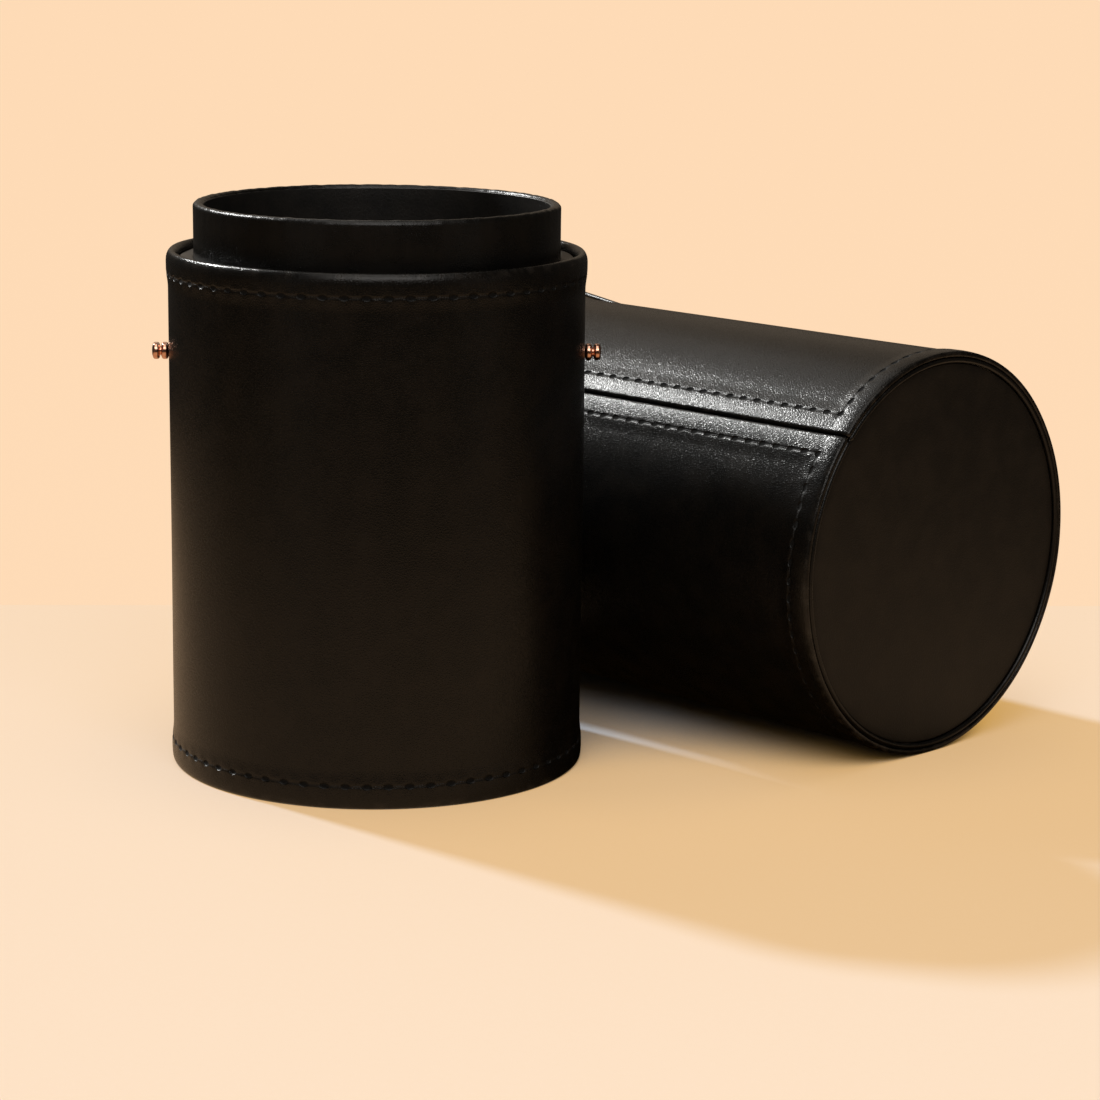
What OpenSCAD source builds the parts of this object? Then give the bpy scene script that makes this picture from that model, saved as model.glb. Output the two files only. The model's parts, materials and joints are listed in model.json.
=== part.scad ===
// Leather dice cup in two halves: an upright cup with a raised neck and two side studs,
// and a cap of the same diameter with two buttonhole straps, lying on its side beside it.
// The origin is the centre of the cup's underside. The studs are on the X axis, the seam is at +Y.

/* [Overall] */
// Outer diameter of the cup and the cap
outer_d = 90; // [70:1:120]
// Height of the cup from the table to its rim
cup_h = 112.5; // [80:0.5:160]
// Length of the cap from its mouth to its closed end
cap_h = 126; // [80:0.5:160]

/* [Neck] */
// Outer diameter of the neck that the cap slides over
neck_d = 79; // [60:0.5:84]
// Height of the neck above the cup's rim
neck_rise = 10; // [5:0.5:25]
// Thickness of the board tube inside the neck
neck_board = 1; // [0.8:0.1:2]
// Radial gap between the neck and the inside of the cap
slide_gap = 0.5; // [0.3:0.05:1]

/* [Leather] */
// Thickness of the outer leather
leather = 1; // [0.8:0.1:1.4]
// Thickness of the thin leather on the neck and of the linings
lining = 0.6; // [0.4:0.1:0.9]
// Thickness of the foam under the outer leather
foam = 1.6; // [1.2:0.1:2.5]
// How far the leather is turned in at a rim
fold_depth = 8; // [7:0.5:15]
// How far a stitched fold stands out from the plain leather
fold_bulge = 0.3; // [0.1:0.05:0.5]
// How far the nose of a turned edge is pressed flat
nose_flat = 0.2; // [0.1:0.05:0.4]
// Depth of the ledge below the cup's rim
ledge_drop = 1.8; // [1:0.1:4]
// Width of the V-shaped groove where the leather's two edges meet
seam_groove = 1.2; // [0.6:0.1:2]

/* [Floor and end] */
// Thickness of the board discs that close the two halves
disc_board = 3; // [2:0.25:5]
// How far the outer discs lie inside their rims
disc_recess = 0.8; // [0.4:0.1:1.5]
// Width of the thin round welt at the edge of each outer disc
welt_w = 1.2; // [0.8:0.1:2]

/* [Stitching] */
// Diameter of the thread
thread_d = 0.56; // [0.4:0.02:0.9]
// Distance from a rim to its row of stitches
stitch_inset = 5; // [3:0.25:6]
// Distance from the seam to the row of stitches on each side, around the leather
seam_inset = 5.2; // [3:0.2:8]

/* [Studs] */
// Diameter of the stud's head and of its foot
stud_d = 3.7; // [2.6:0.1:4.5]
// How far the stud stands out from the leather
stud_out = 3.6; // [3:0.1:5]
// Length of the stud's waist, where the strap sits
stud_waist = 0.8; // [0.6:0.1:1.6]
// Height of the studs below the cup's rim
stud_drop = 22.5; // [18:0.5:40]

/* [Straps] */
// Distance from the cap's mouth to where a strap comes free
strap_fold_at = 18; // [12:0.5:40]
// Width of a strap
strap_w = 14; // [10:0.5:20]
// Thickness of a strap
strap_t = 1.4; // [1:0.1:2]
// Length of the strap's sewn end
strap_root_l = 14; // [10:0.5:25]
// Length of the strap past the middle of its buttonhole
strap_tip = 9; // [7:0.5:15]
// Gap between a strap that lies flat and the folds under it
strap_gap = 0.3; // [0.2:0.05:0.6]
// Angle of the right strap off the cap as it lies on the table
right_flare = 8; // [0:1:45]
// Angle of the left strap off the cap as it lies on the table
left_flare = 8; // [0:1:9]

/* [Place of the cap] */
// Turn of the cap's closed end from +X, seen from above
cap_yaw = -48.4; // [-60:0.1:-35]
// Roll of the cap about its own length
cap_roll = 137.5; // [130:0.5:145]
// Distance of the cap's closed end along its length from the point nearest the cup
cap_shift = 84.5; // [60:0.5:100]
// Gap between the cup and the cap where they are nearest
cap_clearance = 0.8; // [0.5:0.1:20]

/* [Hidden] */
$fn = 96;

// Colours
black_leather = [0.09, 0.085, 0.08];
dark_lining = [0.13, 0.12, 0.11];
grey_board = [0.45, 0.42, 0.38];
dark_foam = [0.2, 0.2, 0.2];
black_thread = [0.04, 0.04, 0.04];
rose_gold = [0.78, 0.5, 0.4];

// Layers from the outside in
outer_r = outer_d / 2;
fold_r = outer_r + fold_bulge;
wrap_in_r = outer_r - leather;
fold_in_r = wrap_in_r - leather;
tube_r = wrap_in_r - foam;
neck_r = neck_d / 2;
neck_tube_r = neck_r - lining;
cup_lining_r = neck_tube_r - neck_board;
bore_r = cup_lining_r - lining;
cap_bore_r = neck_r + slide_gap;
cap_lining_r = cap_bore_r + lining;

// Heights in the cup, and the same heights from the cap's closed end
glue = 0.02;
disc_bottom = disc_recess + leather;
board_top = disc_bottom + glue + disc_board;
floor_top = board_top + leather;
ledge_z = cup_h - ledge_drop;
neck_top = cup_h + neck_rise;
disc_edge_r = fold_in_r - glue;
welt_r = disc_edge_r - welt_w / 2;
fold_w = fold_r - fold_in_r;
seam_angle = seam_inset / outer_r * 180 / PI;
groove_depth = thread_d * 0.9;
groove_w = thread_d * 1.6;
thread_r = fold_r - groove_depth + thread_d / 2 + glue;

// Studs
stud_z = cup_h - stud_drop;
stud_shank_r = stud_d * 0.25;
stud_hole_r = stud_shank_r + 0.05;
stud_waist_r = stud_d * 0.3;
stud_lobe = (stud_out - stud_waist) / 2;
washer_r = stud_d * 0.7;
washer_t = 0.8;

// Straps, in the cap's own frame with the mouth at zero and the closed end up
strap_in_r = fold_r + strap_gap;
flex_z = strap_fold_at;
flex_r = strap_in_r + strap_t / 2;
strap_l = flex_z + stud_drop + strap_tip;
buttonhole_r = stud_waist_r + 0.2;
slit_w = 0.6;
slit_l = stud_d * 1.3;
root_start = flex_z + 0.3;
root_stitch_inset = 2.2;
root_in_r = outer_r + glue;

cap_axis_distance = 2 * fold_r + cap_clearance;

// ---- Shapes that both halves share ----

module ring(r_out, r_in, z0, z1) {
    translate([0, 0, z0])
        rotate_extrude()
            translate([r_in, 0])
                square([r_out - r_in, z1 - z0]);
}

module disc(r, z0, z1) {
    translate([0, 0, z0])
        cylinder(r = r, h = z1 - z0);
}

// A turned edge: two layers of leather with a round nose, pressed a little flat at height 0
module fold_profile() {
    nose_z = fold_w / 2 - nose_flat;
    intersection() {
        translate([fold_in_r + fold_w / 2, nose_z])
            circle(r = fold_w / 2);
        translate([fold_in_r, 0])
            square([fold_w, fold_w]);
    }
    translate([fold_in_r, nose_z])
        square([fold_w, fold_depth - nose_z]);
}

// Turns a profile all round except between the two rows beside the seam
module turn_past_seam() {
    rotate([0, 0, 90 + seam_angle])
        rotate_extrude(angle = 360 - 2 * seam_angle)
            children();
}

module stitch_groove(z) {
    turn_past_seam()
        translate([fold_r - groove_depth, z - groove_w / 2])
            square([groove_depth + 1, groove_w]);
}

// The outer leather of one half, with the turned edges at both ends and a butted seam at +Y
module wrap(h) {
    difference() {
        rotate_extrude() {
            fold_profile();
            translate([0, h])
                mirror([0, 1])
                    fold_profile();
            translate([wrap_in_r, fold_depth - 1])
                square([leather, h - 2 * fold_depth + 2]);
        }
        stitch_groove(stitch_inset);
        stitch_groove(h - stitch_inset);
        seam_cut(h);
        for (side = [-1, 1])
            rotate([0, 0, side * seam_angle])
                translate([-groove_w / 2, thread_r - thread_d / 2 - glue, stitch_inset])
                    cube([groove_w, leather, h - 2 * stitch_inset]);
    }
}

// A slit through the leather where its edges butt, under a V-shaped groove
module seam_cut(h) {
    slit = 0.1;
    translate([-slit / 2, fold_in_r - 1, -1])
        cube([slit, fold_w + 2, h + 2]);
    translate([0, fold_r, -1])
        rotate([0, 0, 45])
            translate([-seam_groove / 2 * sqrt(2) / 2, -seam_groove / 2 * sqrt(2) / 2, 0])
                cube([seam_groove / 2 * sqrt(2), seam_groove / 2 * sqrt(2), h + 2]);
}

module ring_thread(z) {
    turn_past_seam()
        translate([thread_r, z])
            circle(d = thread_d);
}

// Two rows beside the seam, ending short of the rows that go round
module seam_threads(h) {
    gap = thread_d;
    for (side = [-1, 1])
        rotate([0, 0, side * seam_angle])
            translate([0, thread_r, stitch_inset + gap])
                cylinder(d = thread_d, h = h - 2 * (stitch_inset + gap));
}

module welt() {
    rotate_extrude()
        translate([welt_r, welt_w / 2 + glue])
            circle(d = welt_w - 2 * glue);
}

module end_disc() {
    disc(welt_r - welt_w / 2, disc_recess, disc_bottom);
}

module end_board() {
    difference() {
        disc(disc_edge_r, disc_bottom + glue, board_top);
        welt();
    }
}

// ---- The cup ----

module cup_wrap() {
    color(black_leather)
        difference() {
            wrap(cup_h);
            stud_holes();
        }
}

module cup_tube() {
    color(grey_board)
        difference() {
            ring(tube_r, neck_r, board_top, ledge_z - lining);
            stud_holes();
            for (side = [-1, 1])
                translate([side * (neck_r + (washer_t + glue) / 2 - 1), 0, stud_z])
                    rotate([0, 90, 0])
                        cylinder(r = washer_r + glue, h = washer_t + glue + 2, center = true);
        }
}

module cup_padding() {
    color(dark_foam)
        difference() {
            ring(wrap_in_r, tube_r, fold_depth, cup_h - fold_depth);
            stud_holes();
        }
}

module cup_ledge_ring() {
    color(dark_lining) ring(tube_r, neck_r, ledge_z - lining, ledge_z);
}

module neck_tube() {
    color(grey_board) ring(neck_tube_r, cup_lining_r, board_top, neck_top - lining);
}

// The neck's leather goes up the outside and over the lip
module neck_leather() {
    color(black_leather)
        rotate_extrude() {
            lip_w = neck_r - bore_r;
            translate([neck_tube_r, board_top])
                square([lining, neck_top - lining - board_top]);
            intersection() {
                translate([bore_r + lip_w / 2, neck_top - lip_w / 2])
                    circle(d = lip_w);
                translate([bore_r, neck_top - lining])
                    square([lip_w, lining]);
            }
        }
}

module cup_lining() {
    color(dark_lining) ring(cup_lining_r, bore_r, board_top, neck_top - lining);
}

module cup_floor_lining() {
    color(dark_lining) disc(bore_r - glue, board_top, floor_top);
}

module foot_board() {
    color(grey_board) end_board();
}

module foot_disc() {
    color(black_leather) end_disc();
}

module foot_welt() {
    color(black_leather) welt();
}

module rim_stitching() {
    color(black_thread) ring_thread(cup_h - stitch_inset);
}

module foot_stitching() {
    color(black_thread) ring_thread(stitch_inset);
}

module cup_seam_stitching() {
    color(black_thread) seam_threads(cup_h);
}

// ---- Studs: foot, waist and head outside, a shank through the wall, a washer inside ----

module stud_holes() {
    translate([0, 0, stud_z])
        rotate([0, 90, 0])
            cylinder(r = stud_hole_r, h = 2 * outer_r + 2, center = true);
}

module stud_lobe_profile() {
    nose = stud_lobe * 0.4;
    square([stud_d / 2 - nose, stud_lobe]);
    translate([0, nose])
        square([stud_d / 2, stud_lobe - 2 * nose]);
    for (z = [nose, stud_lobe - nose])
        translate([stud_d / 2 - nose, z])
            circle(r = nose);
}

module stud() {
    shank_l = outer_r - neck_r;
    rotate_extrude() {
        stud_lobe_profile();
        translate([0, stud_lobe + stud_waist])
            stud_lobe_profile();
        square([stud_waist_r, stud_out - stud_lobe / 2]);
    }
    translate([0, 0, -shank_l])
        cylinder(r = stud_shank_r, h = shank_l + stud_lobe / 2);
}

module stud_at(side) {
    translate([side * (outer_r + glue), 0, stud_z])
        rotate([0, side * 90, 0])
            children();
}

module stud_left() {
    color(rose_gold) stud_at(-1) stud();
}

module stud_right() {
    color(rose_gold) stud_at(1) stud();
}

// The washer lies in a pocket in the tube, behind the neck
module stud_washer() {
    translate([0, 0, -(outer_r - neck_r)])
        difference() {
            cylinder(r = washer_r, h = washer_t);
            translate([0, 0, -1])
                cylinder(r = stud_hole_r, h = washer_t + 2);
        }
}

module stud_washer_left() {
    color(rose_gold) stud_at(-1) stud_washer();
}

module stud_washer_right() {
    color(rose_gold) stud_at(1) stud_washer();
}

// ---- The cap, built with its closed end down and its mouth up, then laid on the table ----

// Puts a piece that has the closed end at height 0 where the cap lies
module cap_place() {
    rotate([0, 0, cap_yaw])
        translate([cap_shift, cap_axis_distance, fold_r])
            rotate([0, -90, 0])
                rotate([0, 0, -cap_roll])
                    children();
}

// Puts a piece that has the mouth at height 0 where the cap lies
module mouth_place() {
    cap_place()
        translate([0, 0, cap_h])
            rotate([180, 0, 0])
                children();
}

module cap_wrap() {
    color(black_leather) cap_place() wrap(cap_h);
}

module cap_tube() {
    color(grey_board) cap_place() ring(tube_r, cap_lining_r, board_top, cap_h - ledge_drop);
}

module cap_padding() {
    color(dark_foam) cap_place() ring(wrap_in_r, tube_r, fold_depth, cap_h - fold_depth);
}

module cap_lining() {
    color(dark_lining) cap_place() ring(cap_lining_r, cap_bore_r, board_top, cap_h - ledge_drop);
}

module cap_ceiling_lining() {
    color(dark_lining) cap_place() disc(cap_bore_r - glue, board_top, floor_top);
}

module cap_end_board() {
    color(grey_board) cap_place() end_board();
}

module cap_end_disc() {
    color(black_leather) cap_place() end_disc();
}

module cap_end_welt() {
    color(black_leather) cap_place() welt();
}

module cap_mouth_stitching() {
    color(black_thread) cap_place() ring_thread(cap_h - stitch_inset);
}

module cap_end_stitching() {
    color(black_thread) cap_place() ring_thread(stitch_inset);
}

module cap_seam_stitching() {
    color(black_thread) cap_place() seam_threads(cap_h);
}

// ---- Straps, on the cap's own X axis ----

// A piece of a tube as wide as the strap, on the +X side
module strap_sheet(r_in, z0, z1, width) {
    intersection() {
        ring(r_in + strap_t, r_in, z0, z1);
        translate([0, -width / 2, z0])
            cube([r_in + strap_t + 1, width, z1 - z0]);
    }
}

// The outline of the free strap seen along X, with its end rounded
module strap_outline() {
    tip_z = flex_z - strap_l;
    difference() {
        union() {
            translate([-strap_w / 2, tip_z + strap_w / 2])
                square([strap_w, strap_l - strap_w / 2]);
            translate([0, tip_z + strap_w / 2])
                circle(d = strap_w);
        }
        translate([0, -stud_drop])
            circle(r = buttonhole_r);
        translate([-slit_w / 2, -stud_drop])
            square([slit_w, slit_l]);
    }
}

module free_strap(flare) {
    translate([flex_r, 0, flex_z])
        rotate([0, -flare, 0])
            translate([-flex_r, 0, -flex_z])
                intersection() {
                    ring(strap_in_r + strap_t, strap_in_r, flex_z - strap_l, flex_z);
                    rotate([90, 0, 90])
                        linear_extrude(strap_in_r + strap_t + 1)
                            strap_outline();
                }
}

module strap_root() {
    difference() {
        strap_sheet(root_in_r, root_start, root_start + strap_root_l, strap_w);
        root_threads(groove_w, root_in_r + strap_t);
    }
}

// A stitched box: two rows along the strap and two across it
module root_threads(d, r) {
    row_angle = (strap_w / 2 - root_stitch_inset) / r * 180 / PI;
    z0 = root_start + root_stitch_inset;
    z1 = root_start + strap_root_l - root_stitch_inset;
    for (side = [-1, 1])
        rotate([0, 0, side * row_angle])
            translate([r, 0, z0 + thread_d])
                cylinder(d = d, h = z1 - z0 - 2 * thread_d);
    for (z = [z0, z1])
        translate([0, 0, z])
            rotate([0, 0, -row_angle])
                rotate_extrude(angle = 2 * row_angle)
                    translate([r, 0])
                        circle(d = d);
}

module on_side(side) {
    mouth_place()
        rotate([0, 0, side > 0 ? 0 : 180])
            children();
}

module strap_left() {
    color(black_leather) on_side(1) free_strap(left_flare);
}

module strap_right() {
    color(black_leather) on_side(-1) free_strap(right_flare);
}

module strap_root_left() {
    color(black_leather) on_side(1) strap_root();
}

module strap_root_right() {
    color(black_leather) on_side(-1) strap_root();
}

module strap_stitching_left() {
    color(black_thread) on_side(1) root_threads(thread_d, root_in_r + strap_t);
}

module strap_stitching_right() {
    color(black_thread) on_side(-1) root_threads(thread_d, root_in_r + strap_t);
}

cup_wrap();
cup_tube();
cup_padding();
cup_ledge_ring();
neck_tube();
neck_leather();
cup_lining();
cup_floor_lining();
foot_board();
foot_disc();
foot_welt();
rim_stitching();
foot_stitching();
cup_seam_stitching();
stud_left();
stud_right();
stud_washer_left();
stud_washer_right();
cap_wrap();
cap_tube();
cap_padding();
cap_lining();
cap_ceiling_lining();
cap_end_board();
cap_end_disc();
cap_end_welt();
cap_mouth_stitching();
cap_end_stitching();
cap_seam_stitching();
strap_left();
strap_right();
strap_root_left();
strap_root_right();
strap_stitching_left();
strap_stitching_right();
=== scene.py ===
import json
import math

import bmesh
import bpy
import numpy as np
from mathutils import Matrix, Vector


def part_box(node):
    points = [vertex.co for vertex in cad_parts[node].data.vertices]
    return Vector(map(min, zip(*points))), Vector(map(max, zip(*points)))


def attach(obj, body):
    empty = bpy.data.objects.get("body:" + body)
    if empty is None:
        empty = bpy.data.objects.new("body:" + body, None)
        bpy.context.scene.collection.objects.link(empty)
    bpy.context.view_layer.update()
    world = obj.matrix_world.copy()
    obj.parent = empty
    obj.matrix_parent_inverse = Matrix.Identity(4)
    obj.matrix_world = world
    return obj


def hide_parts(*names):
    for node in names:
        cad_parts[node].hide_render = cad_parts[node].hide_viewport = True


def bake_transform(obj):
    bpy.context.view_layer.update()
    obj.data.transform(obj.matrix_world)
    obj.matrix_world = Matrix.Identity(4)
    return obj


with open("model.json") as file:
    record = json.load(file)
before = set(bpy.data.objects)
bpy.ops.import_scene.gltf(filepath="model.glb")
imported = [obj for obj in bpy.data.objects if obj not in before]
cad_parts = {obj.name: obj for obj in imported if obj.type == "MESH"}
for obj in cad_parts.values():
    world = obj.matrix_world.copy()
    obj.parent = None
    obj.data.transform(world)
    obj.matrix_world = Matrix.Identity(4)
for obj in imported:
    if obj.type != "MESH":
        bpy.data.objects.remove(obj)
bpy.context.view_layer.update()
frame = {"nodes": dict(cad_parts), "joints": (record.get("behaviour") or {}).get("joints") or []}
mm = 0.001


# The two halves and how they lie, taken from the frame

def middle(node):
    low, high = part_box(node)
    return (low + high) / 2


joints = {joint["name"]: joint for joint in frame["joints"]}
leftFlex = Vector(joints["strap_left_flex"]["pos_m"])
rightFlex = Vector(joints["strap_right_flex"]["pos_m"])
capAcross = (leftFlex - rightFlex).normalized()  # from the cap's middle to its left strap
capSeamWay = Vector(joints["strap_left_flex"]["axis"]).normalized()
capUp = capAcross.cross(capSeamWay)  # from the closed end to the mouth
discMiddle = 1.3 * mm  # the end disc's middle, up from the closed end
capFoot = middle("cap_end_disc") - capUp * discMiddle
capHeight = 2 * (middle("cap_wrap") - capFoot).length

capPlace = Matrix((
    (capAcross.x, capSeamWay.x, capUp.x, capFoot.x),
    (capAcross.y, capSeamWay.y, capUp.y, capFoot.y),
    (capAcross.z, capSeamWay.z, capUp.z, capFoot.z),
    (0, 0, 0, 1),
))
cupPlace = Matrix.Identity(4)

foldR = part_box("cup_wrap")[1].x  # outside of the turned edges
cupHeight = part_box("cup_wrap")[1].z
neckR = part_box("neck_leather")[1].x
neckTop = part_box("neck_leather")[1].z
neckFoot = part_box("neck_leather")[0].z
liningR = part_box("cup_lining")[1].x
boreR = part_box("cup_floor_lining")[1].x
floorLow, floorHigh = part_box("cup_floor_lining")[0].z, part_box("cup_floor_lining")[1].z
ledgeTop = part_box("cup_ledge_ring")[1].z
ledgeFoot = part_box("cup_ledge_ring")[0].z
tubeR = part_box("cup_ledge_ring")[1].x
print("frame read")


# Wiring of node trees

class Wire:  # an output socket, with the sums it can take part in
    def __init__(self, board, socket):
        self.board = board
        self.socket = socket

    def __add__(self, other):
        return self.board.sum("ADD", self, other)

    def __sub__(self, other):
        return self.board.sum("SUBTRACT", self, other)

    def __rsub__(self, other):
        return self.board.sum("SUBTRACT", other, self)

    def __mul__(self, other):
        return self.board.sum("MULTIPLY", self, other)

    def __truediv__(self, other):
        return self.board.sum("DIVIDE", self, other)

    __radd__ = __add__
    __rmul__ = __mul__


class Board:  # a node tree that is being wired
    def __init__(self, tree):
        self.tree = tree
        tree.nodes.clear()

    def node(self, kind, settings=None, sockets=None, output=0):
        made = self.tree.nodes.new(kind)
        for key, value in (settings or {}).items():
            if key == "stops":
                elements = made.color_ramp.elements
                while len(elements) < len(value):
                    elements.new(0.5)
                for element, (position, colour) in zip(elements, value):
                    element.position = position
                    element.color = colour
            else:
                setattr(made, key, value)
        for key, value in (sockets or {}).items():
            if isinstance(value, Wire):
                self.tree.links.new(value.socket, made.inputs[key])
            else:
                made.inputs[key].default_value = value
        return Wire(self, made.outputs[output]) if len(made.outputs) else None

    def sum(self, operation, first, second=0.0):
        return self.node("ShaderNodeMath", {"operation": operation}, {0: first, 1: second})

    def ease(self, value, low, high):  # 0 below low, 1 above high, smooth between
        sockets = {"Value": value, "From Min": low, "From Max": high}
        return self.node("ShaderNodeMapRange", {"interpolation_type": "SMOOTHSTEP"}, sockets)

    def mix(self, share, first, second):
        return self.node("ShaderNodeMix", {"data_type": "RGBA"}, {0: share, 6: first, 7: second}, 2)

    def noise(self, place, scale, detail=2.0, rough=0.5, output="Fac"):
        sockets = {"Vector": place, "Scale": scale, "Detail": detail, "Roughness": rough}
        return self.node("ShaderNodeTexNoise", {}, sockets, output)


def newFinish(name):
    material = bpy.data.materials.new(name)
    material.use_nodes = True
    board = Board(material.node_tree)
    return material, board, board.node("ShaderNodeTexCoord", output="Object")


def finishWith(board, shader):
    board.node("ShaderNodeOutputMaterial", {}, {"Surface": shader})


# Finishes

leatherLook = {
    "black": (0.0028, 0.0026, 0.0023, 1),
    "brownBlack": (0.0050, 0.0041, 0.0032, 1),
    "worn": (0.022, 0.019, 0.016, 1),
    # painted shade: near-black colour for the insides of needle holes and the seam groove
    "hole": (0.0008, 0.0008, 0.0008, 1),
    "pebble": 0.50 * mm,
    "pebbleHeight": 0.020 * mm,
    "poreHeight": 0.006 * mm,
    "swell": 0.03 * mm,
    "gloss": 0.29,
    "glossChange": 0.08,
    "specular": 0.30,
    "drift": 0.35 * mm,
    "wear": 0.55,
    "holeDepth": 0.60 * mm,
    "grooveDepth": 0.08 * mm,
    "seamDepth": 0.2 * mm,
    "pucker": 0.10 * mm,
}


def leatherFinish(name, change=None, rows=None):
    look = {**leatherLook, **(change or {})}
    material, board, place = newFinish(name)
    drift = board.noise(place, 1100, 1, output="Color")
    bent = board.node(
        "ShaderNodeVectorMath", {"operation": "MULTIPLY_ADD"},
        {0: drift, 1: (look["drift"],) * 3, 2: place})
    cells = board.node(
        "ShaderNodeTexVoronoi", {"feature": "DISTANCE_TO_EDGE"},
        {"Vector": bent, "Scale": 1 / look["pebble"]}, "Distance")
    pebbles = board.ease(cells, 0.02, 0.32)
    pores = board.noise(place, 4600, 2)
    patches = board.noise(place, 140, 4, 0.6)
    clouds = board.noise(place, 26, 2)
    colour = board.mix(board.ease(patches, 0.35, 0.7), look["black"], look["brownBlack"])
    height = pebbles * look["pebbleHeight"] + pores * look["poreHeight"] + clouds * look["swell"]
    gloss = look["gloss"] + (patches - 0.5) * look["glossChange"] - pebbles * 0.03
    if rows:
        holes, groove, seam, edge = stitchMarks(board, rows)
        wear = edge * board.ease(board.noise(place, 420, 3), 0.42, 0.72)
        colour = board.mix(wear * look["wear"], colour, look["worn"])
        # painted shade: needle holes and the seam groove are darkened in the base colour, as shade inside them
        colour = board.mix(board.sum("MAXIMUM", holes, seam * 0.9), colour, look["hole"])
        pucker = board.noise(place, 900, 2) * groove * look["pucker"]
        height = (height + pucker - groove * look["grooveDepth"] - holes * look["holeDepth"]
                  - seam * look["seamDepth"])
        gloss = gloss - edge * 0.05 + holes * 0.65 + groove * 0.15
    normal = board.node("ShaderNodeBump", {}, {"Height": height, "Distance": 1.0, "Strength": 1.0})
    finishWith(board, board.node("ShaderNodeBsdfPrincipled", {}, {
        "Base Color": colour, "Roughness": gloss, "Normal": normal,
        "Specular IOR Level": look["specular"]}))
    return material


markMake = {
    "holeLong": 1.00 * mm, "holeWide": 0.62 * mm, "dentFrom": 0.12 * mm, "dentTo": 0.42 * mm,
    "seamFrom": 0.06 * mm, "seamTo": 0.34 * mm, "edgeFrom": 0.5 * mm, "edgeTo": 2.0 * mm,
}


def stitchMarks(board, rows):
    # needle holes, the dent under the thread, the seam line and the turned edges, in metres on the flat
    flat = board.node("ShaderNodeSeparateXYZ", {}, {0: board.node("ShaderNodeUVMap", {"uv_map": "flat"})})
    along = Wire(board, flat.socket.node.outputs["X"])
    up = Wire(board, flat.socket.node.outputs["Y"])
    fromSeam = board.sum("MINIMUM", along, rows["girth"] - along)
    fromRim = rows["height"] / 2 - board.sum("ABSOLUTE", up - rows["height"] / 2)

    def row(position, start, pitch, fromRow, onRow):
        step = board.sum("FRACT", (position - start) / pitch + 0.5) - 0.5
        aside = step * (pitch / markMake["holeLong"])
        across = fromRow / markMake["holeWide"]
        gap = board.sum("SQRT", aside * aside + across * across)
        hole = (1 - board.ease(gap, 0.55, 1.15)) * onRow
        dent = (1 - board.ease(board.sum("ABSOLUTE", fromRow), markMake["dentFrom"], markMake["dentTo"])) * onRow
        return hole, dent

    pastSeam = board.ease(fromSeam, rows["seamInset"] - 0.6 * mm, rows["seamInset"] - 0.1 * mm)
    pastRim = board.ease(fromRim, rows["inset"] - 0.6 * mm, rows["inset"] - 0.1 * mm)
    roundHole, roundDent = row(
        along, rows["seamInset"], rows["roundPitch"], fromRim - rows["inset"], pastSeam)
    upHole, upDent = row(
        up, rows["inset"], rows["upPitch"], fromSeam - rows["seamInset"], pastRim)
    seam = 1 - board.ease(fromSeam, markMake["seamFrom"], markMake["seamTo"])
    edge = 1 - board.ease(
        board.sum("MINIMUM", fromRim, fromSeam + 0.6 * mm), markMake["edgeFrom"], markMake["edgeTo"])
    return board.sum("MAXIMUM", roundHole, upHole), board.sum("MAXIMUM", roundDent, upDent), seam, edge


def boardFinish(name):
    material, board, place = newFinish(name)
    fibres = board.noise(place, 900, 6, 0.75)
    specks = board.ease(board.noise(place, 2600, 2), 0.6, 0.75)
    colour = board.mix(fibres, (0.16, 0.145, 0.12, 1), (0.34, 0.31, 0.27, 1))
    colour = board.mix(specks * 0.6, colour, (0.08, 0.07, 0.06, 1))
    normal = board.node("ShaderNodeBump", {}, {"Height": fibres * (0.12 * mm), "Distance": 1.0})
    finishWith(board, board.node("ShaderNodeBsdfPrincipled", {}, {
        "Base Color": colour, "Roughness": 0.8 + fibres * 0.15, "Normal": normal}))
    return material


def foamFinish(name):
    material, board, place = newFinish(name)
    cells = board.node("ShaderNodeTexVoronoi", {}, {"Vector": place, "Scale": 2400.0}, "Distance")
    black, grey = (0.006, 0.006, 0.006, 1), (0.05, 0.05, 0.052, 1)
    # painted shade: the pits of the pores are coloured near black, the walls between them grey
    colour = board.mix(board.ease(cells, 0.1, 0.6), black, grey)
    normal = board.node("ShaderNodeBump", {}, {"Height": cells * (0.2 * mm), "Distance": 1.0})
    finishWith(board, board.node("ShaderNodeBsdfPrincipled", {}, {
        "Base Color": colour, "Roughness": 0.95 - cells * 0.1, "Normal": normal}))
    return material


def threadFinish(name):
    material, board, place = newFinish(name)
    along = board.node("ShaderNodeAttribute", {"attribute_name": "along"}, output="Fac")
    about = board.node("ShaderNodeAttribute", {"attribute_name": "about"}, output="Fac")
    twist = board.sum("SINE", (along * 7.0 + about) * (2 * math.pi))
    fuzz = board.noise(place, 9000, 3)
    shade = board.ease(twist * 0.5 + fuzz * 0.6, -0.2, 0.9)
    colour = board.mix(shade, (0.002, 0.002, 0.002, 1), (0.010, 0.0095, 0.009, 1))
    height = twist * (0.035 * mm) + fuzz * (0.02 * mm)
    normal = board.node("ShaderNodeBump", {}, {"Height": height, "Distance": 1.0})
    finishWith(board, board.node("ShaderNodeBsdfPrincipled", {}, {
        "Base Color": colour, "Roughness": 0.42 + fuzz * 0.2, "Normal": normal,
        "Specular IOR Level": 0.35}))
    return material


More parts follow.
